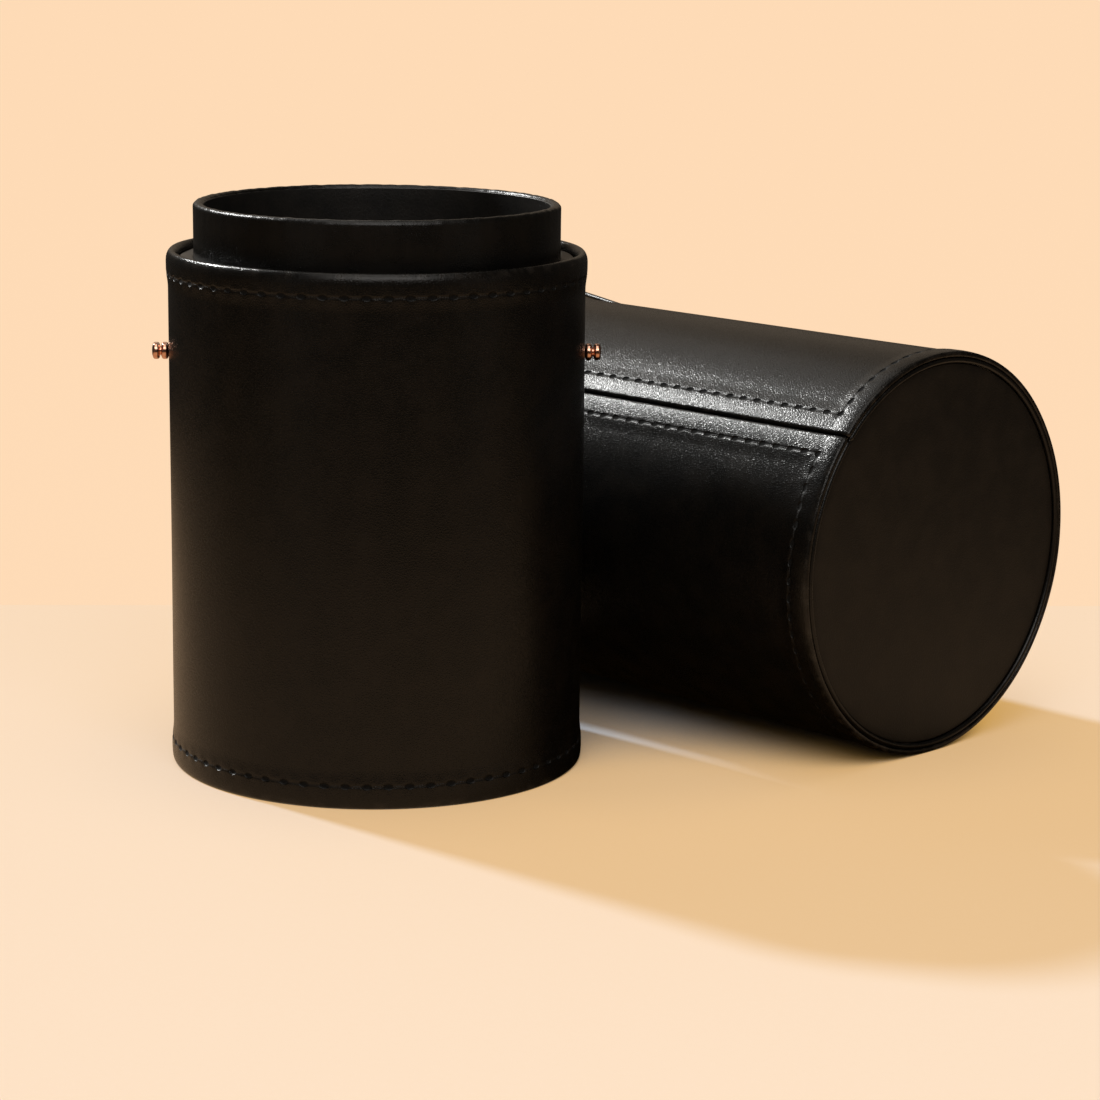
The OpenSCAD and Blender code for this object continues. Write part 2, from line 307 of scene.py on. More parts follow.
def goldFinish(name):
    material, board, place = newFinish(name)
    cloud = board.noise(place, 600, 3)
    scratches = board.node("ShaderNodeMapping", {}, {"Vector": place, "Scale": (1.0, 0.12, 1.0)})
    lines = board.noise(scratches, 9000, 2)
    colour = board.mix(board.ease(cloud, 0.3, 0.7), (0.80, 0.40, 0.27, 1), (0.88, 0.52, 0.37, 1))
    normal = board.node("ShaderNodeBump", {}, {"Height": lines * (0.004 * mm), "Distance": 1.0})
    finishWith(board, board.node("ShaderNodeBsdfPrincipled", {}, {
        "Base Color": colour, "Metallic": 1.0, "Roughness": 0.13 + cloud * 0.14, "Normal": normal}))
    return material


print("wiring ready")


# Turned pieces: an outline in (radius, height), taken round in steps from the seam

def settle(name, points, faces, place, finish, flat=None):
    mesh = bpy.data.meshes.new(name)
    mesh.from_pydata([place @ Vector(point) for point in points], [], faces)
    if flat is not None:
        layer = mesh.uv_layers.new(name="flat")
        layer.data.foreach_set("uv", np.asarray(flat, np.float32).ravel())
    mesh.materials.append(finish)
    mesh.polygons.foreach_set("use_smooth", [True] * len(mesh.polygons))
    piece = bpy.data.objects.new(name, mesh)
    bpy.context.scene.collection.objects.link(piece)
    return piece


def outlineNormals(outline, closed):
    points = np.array(outline, float)
    if closed:
        before, after = np.roll(points, 1, 0), np.roll(points, -1, 0)
    else:
        before, after = np.vstack([points[:1], points[:-1]]), np.vstack([points[1:], points[-1:]])
    way = after - before
    way /= np.maximum(np.linalg.norm(way, axis=1), 1e-12)[:, None]
    return np.stack([way[:, 1], -way[:, 0]], 1)


def turned(name, outline, steps, place, finish, press=None, closed=True, girth=None, heights=None):
    # steps are distances round the piece from the seam, as shares of a turn
    outline = np.array(outline, float)
    normals = outlineNormals(outline, closed)
    shares = np.array(steps, float)
    count, rows = len(shares), len(outline)
    radius = np.repeat(outline[None, :, 0], count, 0)
    height = np.repeat(outline[None, :, 1], count, 0)
    if press is not None:
        push = press(shares[:, None], outline[None, :, 0], outline[None, :, 1])
        radius = radius + push * normals[None, :, 0]
        height = height + push * normals[None, :, 1]
    turn = math.pi / 2 + shares * 2 * math.pi
    points = np.stack([
        radius * np.cos(turn)[:, None], radius * np.sin(turn)[:, None], height], 2).reshape(-1, 3)
    points[np.repeat(outline[None, :, 0], count, 0).reshape(-1) < 1e-9, :2] = 0
    spans = rows if closed else rows - 1
    faces, flat = [], []
    for i in range(count):
        j = (i + 1) % count
        for k in range(spans):
            m = (k + 1) % rows
            faces.append((i * rows + k, j * rows + k, j * rows + m, i * rows + m))
            if girth:
                u0, u1 = shares[i] * girth, (shares[j] if j else 1.0) * girth
                v0, v1 = heights[k], heights[k + 1]
                flat.extend(((u0, v0), (u1, v0), (u1, v1), (u0, v1)))
    piece = settle(name, points, faces, place, finish, flat if girth else None)
    if not closed:
        weld(piece)
    return piece


def weld(piece):
    work = bmesh.new()
    work.from_mesh(piece.data)
    bmesh.ops.remove_doubles(work, verts=work.verts, dist=1e-7)
    bmesh.ops.dissolve_degenerate(work, edges=work.edges, dist=1e-8)
    work.to_mesh(piece.data)
    work.free()


def faceOutward(piece):
    work = bmesh.new()
    work.from_mesh(piece.data)
    bmesh.ops.recalc_face_normals(work, faces=work.faces)
    work.to_mesh(piece.data)
    work.free()


def standFor(piece, body, slotName, *nodes):
    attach(piece, body)
    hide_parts(*nodes)


def evenSteps(count):
    return [i / count for i in range(count)]


def tubeOutline(outer, inner, low, high, soft, rise=6):
    # a tube's section with rounded corners, anticlockwise from the outer foot
    points = []
    corners = ((outer - soft, low + soft, -90), (outer - soft, high - soft, 0),
               (inner + soft, high - soft, 90), (inner + soft, low + soft, 180))
    for number, (r, z, start) in enumerate(corners):
        for i in range(rise + 1):
            a = math.radians(start + 90 * i / rise)
            points.append((r + soft * math.cos(a), z + soft * math.sin(a)))
        target = corners[(number + 1) % 4]
        if abs(target[1] - z) > 4 * mm:
            side = outer if number == 0 else inner
            for i in range(1, 40):
                points.append((side, z + (target[1] - z) * i / 40))
    return points


def smooth(x, low, high):
    t = np.clip((x - low) / (high - low), 0, 1)
    return t * t * (3 - 2 * t)


# The outer leather of each half

wrapMake = {
    "plainR": foldR - 0.3 * mm,
    "foldIn": 43 * mm,
    "plainIn": 44 * mm,
    "foldDepth": 8 * mm,
    "inset": 5 * mm,
    "seamInset": 5.2 * mm,
    "crown": 0.10 * mm,
    "roll": 0.12 * mm,
    "rollReach": 2.6 * mm,
    "pinch": 0.07 * mm,
    "pucker": 0.06 * mm,
    "seamRound": 0.95 * mm,
    "footIn": 43.95 * mm,
    "noseDeep": 0.95 * mm,
    "noseSquare": 2.9,
    "rimDeep": 2.4 * mm,
    "rimSquare": 2.1,
    "stepFrom": 0.6 * mm,
    "stepTo": 3.4 * mm,
    "dipReach": 0.30 * mm,
    "puckerReach": 1.3 * mm,
    "uneven": 0.035 * mm,
    "noseRows": 15,
    "edgeRows": 27,
    "plainRows": 42,
    "round": 460,
    "cupPitch": 4.45 * mm,
    "capPitch": 4.0 * mm,
}
girth = 2 * math.pi * wrapMake["plainR"]


def evenPitch(length, pitch):
    return length / max(1, round(length / pitch))


def rowsFor(height, pitch):
    return {
        "girth": girth, "height": height,
        "inset": wrapMake["inset"], "seamInset": wrapMake["seamInset"],
        "roundPitch": evenPitch(girth - 2 * wrapMake["seamInset"], pitch),
        "upPitch": evenPitch(height - 2 * wrapMake["inset"], pitch),
    }


def wrapOutline(height):
    make = wrapMake
    half = (foldR - make["foldIn"]) / 2
    footHalf = (foldR - make["footIn"]) / 2
    nose, rimNose = make["noseDeep"], make["rimDeep"]
    count, edgeRows = make["noseRows"], make["edgeRows"]

    def corner(share, wide, deep, square):  # a softly squared half round, 0 to 1 from inside to outside
        a = math.pi * (1 - share)
        c, s = math.cos(a), math.sin(a)
        return wide * math.copysign(abs(c) ** (2 / square), c), deep * s ** (2 / square) if s > 1e-9 else 0.0

    points = []
    for i in range(count):  # foot nose
        across, down = corner(i / (count - 1), footHalf, nose, make["noseSquare"])
        points.append((make["footIn"] + footHalf + across, nose - down))
    rise = [nose + 0.28 * mm * i for i in range(1, edgeRows + 1)]
    top = [height - (rimNose + 0.225 * mm * i) for i in range(edgeRows, 0, -1)]
    between = np.linspace(rise[-1], top[0], make["plainRows"] + 2)[1:-1].tolist()
    for z in rise + between + top:
        points.append((foldR, z))
    for i in range(count):  # rim nose
        across, down = corner(1 - i / (count - 1), half, rimNose, make["rimSquare"])
        points.append((make["foldIn"] + half + across, height - rimNose + down))
    for z in (height - make["foldDepth"] / 2, height - make["foldDepth"]):
        points.append((make["foldIn"], z))
    for z in np.linspace(height - make["foldDepth"] - 0.2 * mm, make["foldDepth"] + 0.2 * mm, 6):
        points.append((make["plainIn"], z))
    for z in (make["foldDepth"], make["foldDepth"] / 2):
        points.append((make["foldIn"], z))
    return points


def outerWrap(name, height, pitch, place, finish, seed):
    make = wrapMake
    outline = wrapOutline(height)
    rows = rowsFor(height, pitch)
    fine = [0, 0.05, 0.12, 0.2, 0.32, 0.46, 0.62, 0.8, 1.0, 1.3, 1.7, 2.2, 2.8, 3.4, 3.9, 4.3, 4.6, 4.85,
            5.05, 5.2, 5.35, 5.55, 5.8, 6.1, 6.5, 7.0, 7.5]  # closer steps at the seam and its stitches
    fine = [x * mm / girth for x in fine]
    steps = fine + np.linspace(fine[-1], 1 - fine[-1], make["round"])[1:-1].tolist()
    steps += [1 - x for x in reversed(fine[1:])]
    outerCount = 2 * (make["noseRows"] + make["edgeRows"]) + make["plainRows"]
    weight = np.array([1.0] * outerCount + [0.0] * (len(outline) - outerCount))[None, :]
    weight[0, 0] = weight[0, outerCount - 1] = 0.35

    def press(shares, r, z):
        fromSeam = np.minimum(shares, 1 - shares) * girth
        fromRim = height / 2 - np.abs(z - height / 2)
        inset, seamInset = make["inset"], make["seamInset"]
        plain = (smooth(fromRim, inset - make["stepFrom"], inset + make["stepTo"])
                 * smooth(fromSeam, seamInset - make["stepFrom"], seamInset + make["stepTo"]))
        push = -(foldR - make["plainR"]) * plain
        band = np.sin(np.clip(fromRim / inset, 0, 1) * math.pi)
        seamBand = np.sin(np.clip(fromSeam / seamInset, 0, 1) * math.pi)
        push = push + make["crown"] * band * (1 - plain)
        push = push - make["roll"] * np.clip(1 - fromRim / make["rollReach"], 0, 1) ** 2
        push = push + make["crown"] * seamBand * (1 - plain) * 0.6

        def swell(away, reach):
            return np.exp(-(away / reach) ** 2)

        dip, reach = make["dipReach"], make["puckerReach"]
        roundDip = swell(fromRim - inset, dip) * (fromSeam > seamInset - dip)
        upDip = swell(fromSeam - seamInset, dip) * (fromRim > inset - dip)
        push = push - make["pinch"] * np.maximum(roundDip, upDip)
        phase = np.cos((shares * girth - seamInset) / rows["roundPitch"] * 2 * math.pi)
        push = push - make["pucker"] * phase * swell(fromRim - inset, reach) * smooth(
            fromSeam, seamInset - 0.5 * mm, seamInset + 0.5 * mm)
        phase = np.cos((z - inset) / rows["upPitch"] * 2 * math.pi)
        push = push - make["pucker"] * phase * swell(fromSeam - seamInset, reach) * smooth(
            fromRim, inset - 0.5 * mm, inset + 0.5 * mm)
        bend = np.clip(make["seamRound"] - fromSeam, 0, None)
        push = push - (make["seamRound"] - np.sqrt(make["seamRound"] ** 2 - bend ** 2))
        a = shares * 2 * math.pi
        wave = np.sin(5 * a + seed) * np.sin(z * 60 + seed) + np.sin(11 * a + z * 90 + 2 * seed) * 0.5
        return (push + make["uneven"] * wave) * weight

    heights = [0.0]
    flatOutline = np.array(outline + outline[:1])
    for low, high in zip(flatOutline[:-1], flatOutline[1:]):
        heights.append(heights[-1] + float(np.linalg.norm(high - low)))
    last = make["noseRows"] - 1
    shift = outline[last][1] - heights[last]
    heights = [h + shift for h in heights]
    return turned(name, outline, steps, place, finish, press, girth=girth, heights=heights)


cupLeather = leatherFinish("cupLeather", rows=rowsFor(cupHeight, wrapMake["cupPitch"]))
capLeather = leatherFinish("capLeather", rows=rowsFor(capHeight, wrapMake["capPitch"]))
cupWrap = outerWrap("cupWrap", cupHeight, wrapMake["cupPitch"], cupPlace, cupLeather, 0.7)
capWrap = outerWrap("capWrap", capHeight, wrapMake["capPitch"], capPlace, capLeather, 2.1)
standFor(cupWrap, "cup", "black_leather", "cup_wrap")
standFor(capWrap, "cap", "black_leather", "cap_wrap")
print("outer leather done")


# Neck, ledge and linings

neckMake = {"board": 0.6 * mm, "lipWave": 0.07 * mm, "hem": 1.0 * mm, "round": 420}
liningMake = {
    "wave": 0.05 * mm, "forward": 0.05 * mm, "short": 0.62 * mm, "soft": 0.2 * mm, "round": 300,
    "capBore": 40 * mm, "linedR": 40.6 * mm, "mouthDrop": 1.8 * mm,
}
ledgeMake = {"soft": 0.22 * mm, "wave": 0.05 * mm, "round": 240}

neckSkin = leatherFinish("neckSkin", {
    "pebble": 0.42 * mm, "pebbleHeight": 0.015 * mm, "swell": 0.03 * mm, "gloss": 0.30, "specular": 0.34})
liningSkin = leatherFinish("liningSkin", {
    "black": (0.009, 0.0083, 0.0075, 1), "brownBlack": (0.014, 0.012, 0.010, 1), "pebble": 1.1 * mm,
    "pebbleHeight": 0.012 * mm, "gloss": 0.40, "swell": 0.05 * mm, "specular": 0.5})
ledgeSkin = leatherFinish("ledgeSkin", {
    "black": (0.030, 0.024, 0.018, 1), "brownBlack": (0.055, 0.042, 0.030, 1), "pebble": 0.8 * mm,
    "gloss": 0.5, "pebbleHeight": 0.02 * mm})


def neckOutline():
    half = (neckR - boreR) / 2
    points = [(neckR - neckMake["board"], neckFoot), (neckR, neckFoot)]
    points += [(neckR, z) for z in np.linspace(neckFoot + 2 * mm, neckTop - half, 26)]
    for i in range(1, 15):
        a = math.radians(180 * i / 14)
        points.append((boreR + half + half * math.cos(a), neckTop - half + half * math.sin(a)))
    points.append((boreR, neckTop - half - neckMake["hem"]))
    points.append((neckR - neckMake["board"], neckTop - half - neckMake["hem"]))
    return points


def neckPress(shares, r, z):
    a = shares * 2 * math.pi
    lip = smooth(z, neckTop - 2.6 * mm, neckTop - 0.9 * mm) * (r > boreR + 0.1 * mm)
    crinkle = (np.sin(31 * a + 1.1) + np.sin(53 * a + 0.4 + 300 * z) + np.sin(83 * a + 2.0)) / 3
    uneven = np.sin(2 * a + 0.3) + 0.6 * np.sin(5 * a)
    overlap = smooth(np.minimum(shares, 1 - shares), 0, 0.004)
    outside = (r > neckR - 0.1 * mm) * 1.0
    return ((crinkle * neckMake["lipWave"] + uneven * 0.03 * mm) * lip
            - (1 - overlap) * 0.05 * mm * outside * (1 - lip))


neckWrap = turned("neckWrap", neckOutline(), evenSteps(neckMake["round"]), cupPlace, neckSkin, neckPress)
standFor(neckWrap, "cup", "neck_leather", "neck_leather")


def ledgePress(shares, r, z):
    return ledgeMake["wave"] * np.sin(shares * 2 * math.pi * 17) * (z > ledgeTop - 0.1 * mm)


ledgeRing = turned(
    "ledgeRing", tubeOutline(tubeR, neckR, ledgeFoot, ledgeTop, ledgeMake["soft"]),
    evenSteps(ledgeMake["round"]), cupPlace, ledgeSkin, ledgePress)
standFor(ledgeRing, "cup", "smooth_lining", "cup_ledge_ring")


def liningPress(shares, r, z):
    a = shares * 2 * math.pi
    wave = liningMake["wave"] * np.sin(4 * a + 40 * z) * np.sin(70 * z + 1)
    return wave + liningMake["forward"]  # in front of the lip's hem


cupLining = turned(
    "cupLining", tubeOutline(liningR, boreR, neckFoot, neckTop - liningMake["short"], liningMake["soft"]),
    evenSteps(liningMake["round"]), cupPlace, liningSkin, liningPress)
standFor(cupLining, "cup", "smooth_lining", "cup_lining")


def capLiningOutline():  # turned over the tube's end at the mouth
    top = capHeight - liningMake["mouthDrop"]
    inner, outer = liningMake["capBore"], liningMake["linedR"]
    points = [(outer, neckFoot), (outer, neckFoot + 3 * mm)]
    points += [(outer, z) for z in np.linspace(neckFoot + 6 * mm, top - 0.05 * mm, 20)]
    points += [(tubeR - inward * mm, top + up * mm) for inward, up in ((0.15, 0), (0.02, 0.25), (0.15, 0.5))]
    points += [(r, top + 0.58 * mm) for r in np.linspace(tubeR - 0.5 * mm, inner + 0.6 * mm, 6)]
    for i in range(1, 7):
        a = math.radians(90 + 90 * i / 6)
        points.append((
            inner + 0.55 * mm + 0.55 * mm * math.cos(a), top + 0.03 * mm + 0.55 * mm * math.sin(a)))
    points += [(inner, z) for z in np.linspace(top - 3 * mm, neckFoot, 30)]
    return points


capLining = turned(
    "capLining", capLiningOutline(), evenSteps(liningMake["round"]), capPlace, liningSkin, liningPress)
standFor(capLining, "cap", "smooth_lining", "cap_lining")


discMake = {"floorSoft": 0.35 * mm, "endSoft": 0.4 * mm, "dish": 0.12 * mm, "loose": 0.02 * mm, "round": 240}


def padDisc(name, radius, low, high, place, finish, body, node, slotName, soft, dish=0.0):
    # a disc of leather with a softened edge; dish lets its outer face sink in the middle
    points = [(0, low)]
    edge = radius - soft
    for r in np.linspace(0, edge, 26)[1:]:
        points.append((r, low + dish * (1 - smooth(r, edge * 0.80, edge))))
    for i in range(1, 9):
        a = math.radians(-90 + 180 * i / 8)
        points.append((edge + soft * math.cos(a), (low + high) / 2 + (high - low) / 2 * math.sin(a)))
    for r in np.linspace(edge, 0, 14)[1:]:
        points.append((r, high))
    piece = turned(name, points, evenSteps(discMake["round"]), place, finish, None, closed=False)
    standFor(piece, body, slotName, node)


discSkin = leatherFinish("discSkin", {
    "pebble": 0.62 * mm, "pebbleHeight": 0.014 * mm, "swell": 0.10 * mm, "gloss": 0.5, "specular": 0.28,
    "black": (0.0050, 0.0044, 0.0038, 1), "brownBlack": (0.0088, 0.0072, 0.0056, 1)})
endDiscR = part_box("foot_disc")[1].x + wrapMake["footIn"] - wrapMake["foldIn"]  # out to the thinned nose
discLow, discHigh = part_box("foot_disc")[0].z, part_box("foot_disc")[1].z
padDisc("cupFloor", boreR, floorLow, floorHigh, cupPlace, liningSkin,
        "cup", "cup_floor_lining", "smooth_lining", discMake["floorSoft"])
padDisc("capCeiling", liningMake["capBore"] - discMake["loose"], floorLow, floorHigh, capPlace, liningSkin,
        "cap", "cap_ceiling_lining", "smooth_lining", discMake["floorSoft"])
padDisc("footDisc", endDiscR, discLow, discHigh, cupPlace, discSkin,
        "cup", "foot_disc", "black_leather", discMake["endSoft"], discMake["dish"])
padDisc("capDisc", endDiscR, discLow, discHigh, capPlace, discSkin,
        "cap", "cap_end_disc", "black_leather", discMake["endSoft"], discMake["dish"])
print("neck, linings and discs done")


# Welts round the discs, closing on themselves at the seam

weltMake = {
    "outer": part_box("foot_welt")[1].x + wrapMake["footIn"] - wrapMake["foldIn"],
    "top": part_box("foot_welt")[1].z, "foot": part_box("foot_welt")[0].z,
    "joinReach": 0.5 * mm, "joinDepth": 0.32 * mm, "wave": 0.012 * mm, "sides": 18, "round": 380,
}


def weltRing(name, place, body, node):
    half = (weltMake["top"] - weltMake["foot"]) / 2
    centre = weltMake["outer"] - half
    outline = []
    for i in range(weltMake["sides"]):
        a = math.radians(-90 + 360 * i / weltMake["sides"])
        outline.append((centre + half * math.cos(a), weltMake["foot"] + half + half * math.sin(a)))

    def press(shares, r, z):
        fromJoin = np.minimum(shares, 1 - shares) * girth
        join = np.exp(-(fromJoin / weltMake["joinReach"]) ** 2)
        wave = np.sin(shares * 2 * math.pi * 41) * weltMake["wave"]
        return wave - join * weltMake["joinDepth"] + r * 0

    fine = [x * mm / girth for x in (0.15, 0.3, 0.5, 0.75, 1.0, 1.3)]
    steps = [0.0] + fine + np.linspace(fine[-1], 1 - fine[-1], weltMake["round"])[1:-1].tolist()
    steps += [1 - x for x in reversed(fine)]
    piece = turned(name, outline, steps, place, neckSkin, press)
    standFor(piece, body, "black_leather", node)


weltRing("footWelt", cupPlace, "cup", "foot_welt")
weltRing("capWelt", capPlace, "cap", "cap_end_welt")


# Foam under the leather, and the boards behind it

foam = foamFinish("foam")
foamMake = {"edge": 8.05 * mm, "outerGap": 0.05 * mm, "innerGap": 0.02 * mm, "soft": 0.4 * mm, "wave": 0.04 * mm,
            "round": 160}


def foamTube(name, height, place, body, node):
    edge = foamMake["edge"]
    outline = tubeOutline(wrapMake["plainIn"] - foamMake["outerGap"], tubeR + foamMake["innerGap"],
                          edge, height - edge, foamMake["soft"])

    def press(shares, r, z):
        a = shares * 2 * math.pi
        return -foamMake["wave"] * (1 + np.sin(9 * a + 80 * z)) * (r > tubeR + 0.3 * mm)

    piece = turned(name, outline, evenSteps(foamMake["round"]), place, foam, press)
    standFor(piece, body, "foam", node)


foamTube("cupFoam", cupHeight, cupPlace, "cup", "cup_padding")
foamTube("capFoam", capHeight, capPlace, "cap", "cap_padding")

greyBoard = boardFinish("greyBoard")
for node in ("cup_tube", "neck_tube", "foot_board", "cap_tube", "cap_end_board"):
    for holder in frame["nodes"][node].material_slots:
        holder.material = greyBoard
print("inner layers done")


# Studs: two round lobes on a waist

roseGold = goldFinish("roseGold")
studMake = {"waistShare": 0.52, "lobeShare": 0.48, "standOut": 3.6 * mm, "sink": 0.3 * mm, "round": 56}


def studPiece(name, node, side):
    low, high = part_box(node)
    half = (high.z - low.z) / 2
    shankIn = min(abs(low.x), abs(high.x))
    tip = max(abs(low.x), abs(high.x))
    start = tip - studMake["standOut"]  # where the stud leaves the leather
    lobe = studMake["lobeShare"] * (tip - start)
    points = [(0, shankIn - start), (half * 0.5, shankIn - start), (half * 0.5, -studMake["sink"])]
    for middleOf in (lobe / 2, tip - start - lobe / 2):
        for i in range(15):
            a = math.radians(-90 + 180 * i / 14)
            s = math.sin(a)
            r = half * max(0, 1 - s ** 4) ** 0.4
            points.append((max(r, half * studMake["waistShare"]), middleOf + lobe / 2 * s))
    points.append((0, tip - start))
    centre = (low + high) / 2
    aim = Vector((side, 0, 0)).to_track_quat("Z", "Y").to_matrix().to_4x4()
    place = Matrix.Translation((side * start, centre.y, centre.z)) @ aim
    piece = turned(name, points, evenSteps(studMake["round"]), place, roseGold, None, closed=False)
    standFor(piece, "cup", "rose_gold", node)


studPiece("studLeft", "stud_left", -1)
studPiece("studRight", "stud_right", 1)
for node in ("stud_washer_left", "stud_washer_right"):
    for holder in frame["nodes"][node].material_slots:
        holder.material = roseGold


# Straps: one piece each, sewn down at the root and free past the fold

strapMake = {
    "width": 14 * mm, "thick": 1.4 * mm, "rootTop": 32.3 * mm, "flex": 18 * mm, "free": 49.5 * mm,
    "rootR": 45.02 * mm, "freeR": 45.6 * mm, "edge": 0.55 * mm, "corner": 1.5 * mm, "hole": 22.5 * mm,
    "holeR": 1.31 * mm, "slit": 0.6 * mm, "slitLength": 4.8 * mm, "rootStitch": 2.2 * mm,
    "bendFrom": 0.6 * mm, "bendTo": -2.0 * mm, "flare": 8,
}
strapSkin = leatherFinish("strapSkin", {
    "gloss": 0.33, "specular": 0.45, "pebbleHeight": 0.014 * mm, "swell": 0.05 * mm,
    "black": (0.0060, 0.0056, 0.0052, 1)})

mouthPlace = capPlace @ Matrix.Translation((0, 0, capHeight)) @ Matrix.Rotation(math.pi, 4, "X")


def strapPath(flare):
    # distance along the strap from its root end, then radius, height from the mouth and lean
    make = strapMake
    total = make["rootTop"] - make["flex"] + make["free"]
    count = 112
    r, z = make["rootR"] + make["thick"] / 2, make["rootTop"]
    path, step = [], total / count
    for i in range(count + 1):
        done = i * step
        fromFlex = done - (make["rootTop"] - make["flex"])
        lift = float(smooth(fromFlex, -2.2 * mm, -0.2 * mm)) * (make["freeR"] - make["rootR"])
        lean = flare * float(smooth(fromFlex, -0.8 * mm, 1.6 * mm))
        path.append((done, r + lift, z, lean))
        r += math.sin(lean) * step
        z -= math.cos(lean) * step
    return path, total


def strapPiece(name, side, nodes):
    make = strapMake
    path, total = strapPath(math.radians(make["flare"]))
    place = mouthPlace @ Matrix.Rotation(0 if side > 0 else math.pi, 4, "Z")
    half, thick = make["width"] / 2, make["thick"]
    ends = np.array([0.0, 0.03, 0.1, 0.2, 0.35, 0.55, 0.8, 1.1]) * mm
    across = np.linspace(-1, 1, 25)
    edgeTurn = [math.radians(90 - 180 * i / 6) for i in range(1, 6)]
    rings, points = [], []
    inner = [p[0] for p in path if ends[-1] < p[0] < total - ends[-1]]
    stations = list(ends) + inner + [total - e for e in reversed(ends)]
    for done in stations:
        at = min(max(done, 0), total)
        index = min(int(at / total * (len(path) - 1)), len(path) - 2)
        share = at / total * (len(path) - 1) - index
        first, second = path[index], path[index + 1]
        r = first[1] + (second[1] - first[1]) * share
        z = first[2] + (second[2] - first[2]) * share
        lean = first[3] + (second[3] - first[3]) * share
        fromTip, fromRoot = total - at, at
        reach = half
        if fromTip < half:
            reach = math.sqrt(max(half ** 2 - (half - fromTip) ** 2, (0.02 * mm) ** 2))
        corner = make["corner"]
        if fromRoot < corner:
            reach = half - corner + math.sqrt(max(corner ** 2 - (corner - fromRoot) ** 2, 0))
        endGap = min(fromTip, fromRoot)
        halfThick = thick / 2 * math.sqrt(max(1 - max(0, 1 - endGap / make["edge"]) ** 2, 0.0004))
        ring = []
        flatHalf = max(reach - make["edge"], reach * 0.3)
        for x in across:
            ring.append((x * flatHalf, halfThick))
        for a in edgeTurn:
            ring.append((flatHalf + (reach - flatHalf) * math.cos(a), halfThick * math.sin(a)))
        for x in across[::-1]:
            ring.append((x * flatHalf, -halfThick))
        for a in edgeTurn:
            ring.append((-flatHalf - (reach - flatHalf) * math.cos(a), -halfThick * math.sin(a)))
        start = len(points)
        for y, t in ring:
            bow = r * (1 - math.cos(y / r))
            out = t - bow
            points.append((r + out * math.cos(lean), r * math.sin(y / r), z + out * math.sin(lean)))
        rings.append((start, len(ring)))
    faces = []
    for (a, n), (b, _) in zip(rings[:-1], rings[1:]):
        for k in range(n):
            m = (k + 1) % n
            faces.append((a + k, b + k, b + m, a + m))
    faces.append(tuple(range(rings[0][0] + rings[0][1] - 1, rings[0][0] - 1, -1))[::-1])
    faces.append(tuple(range(rings[-1][0], rings[-1][0] + rings[-1][1]))[::-1])
    piece = settle(name, points, faces, Matrix.Identity(4), strapSkin)
    faceOutward(piece)
    cutButtonhole(piece, path, total)
    piece.data.transform(place)
    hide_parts(*nodes)
    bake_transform(piece)


def cutButtonhole(piece, path, total):
    make = strapMake
    at = make["rootTop"] + make["hole"]
    index = min(int(at / total * (len(path) - 1)), len(path) - 2)
    done, r, z, lean = path[index]
    ahead = Vector((math.cos(lean), 0, math.sin(lean)))  # out through the strap
    upward = Vector((-math.sin(lean), 0, math.cos(lean)))  # towards the root
    outline = []
    half = make["slit"] / 2
    opening = math.asin(half / make["holeR"])
    for i in range(29):
        a = math.pi / 2 + opening + (2 * math.pi - 2 * opening) * i / 28
        outline.append((make["holeR"] * math.cos(a), make["holeR"] * math.sin(a)))
    outline += [(half, make["slitLength"]), (0, make["slitLength"] + half), (-half, make["slitLength"])]
    points = []
    for depth in (-3 * mm, 3 * mm):
        for y, up in outline:
            points.append(Vector((r, 0, z)) + ahead * depth + upward * up + Vector((0, y, 0)))
    count = len(outline)
    faces = [(k, (k + 1) % count, count + (k + 1) % count, count + k) for k in range(count)]
    faces += [tuple(range(count))[::-1], tuple(range(count, 2 * count))]
    cutter = settle(piece.name + "Cutter", points, faces, Matrix.Identity(4), strapSkin)
    faceOutward(cutter)
    cut = piece.modifiers.new("buttonhole", "BOOLEAN")
    cut.operation = "DIFFERENCE"
    cut.object = cutter
    cut.solver = "EXACT"
    bpy.context.view_layer.update()
    made = bpy.data.meshes.new_from_object(piece.evaluated_get(bpy.context.evaluated_depsgraph_get()))
    piece.modifiers.clear()
    piece.data = made
    bpy.data.objects.remove(cutter)


strapPiece("strapLeft", 1, ("strap_left", "strap_root_left"))
strapPiece("strapRight", -1, ("strap_right", "strap_root_right"))
print("straps done")


# Stitches: rows of thread laid along their lines

stitchMake = {
    "thread": 0.18 * mm, "cover": 0.86, "dip": 0.36 * mm, "rise": 0.02 * mm, "slant": 0.07, "seed": 7,
    "rowR": foldR - 0.16 * mm, "strapPitch": 3.2 * mm,
}
thread = threadFinish("thread")


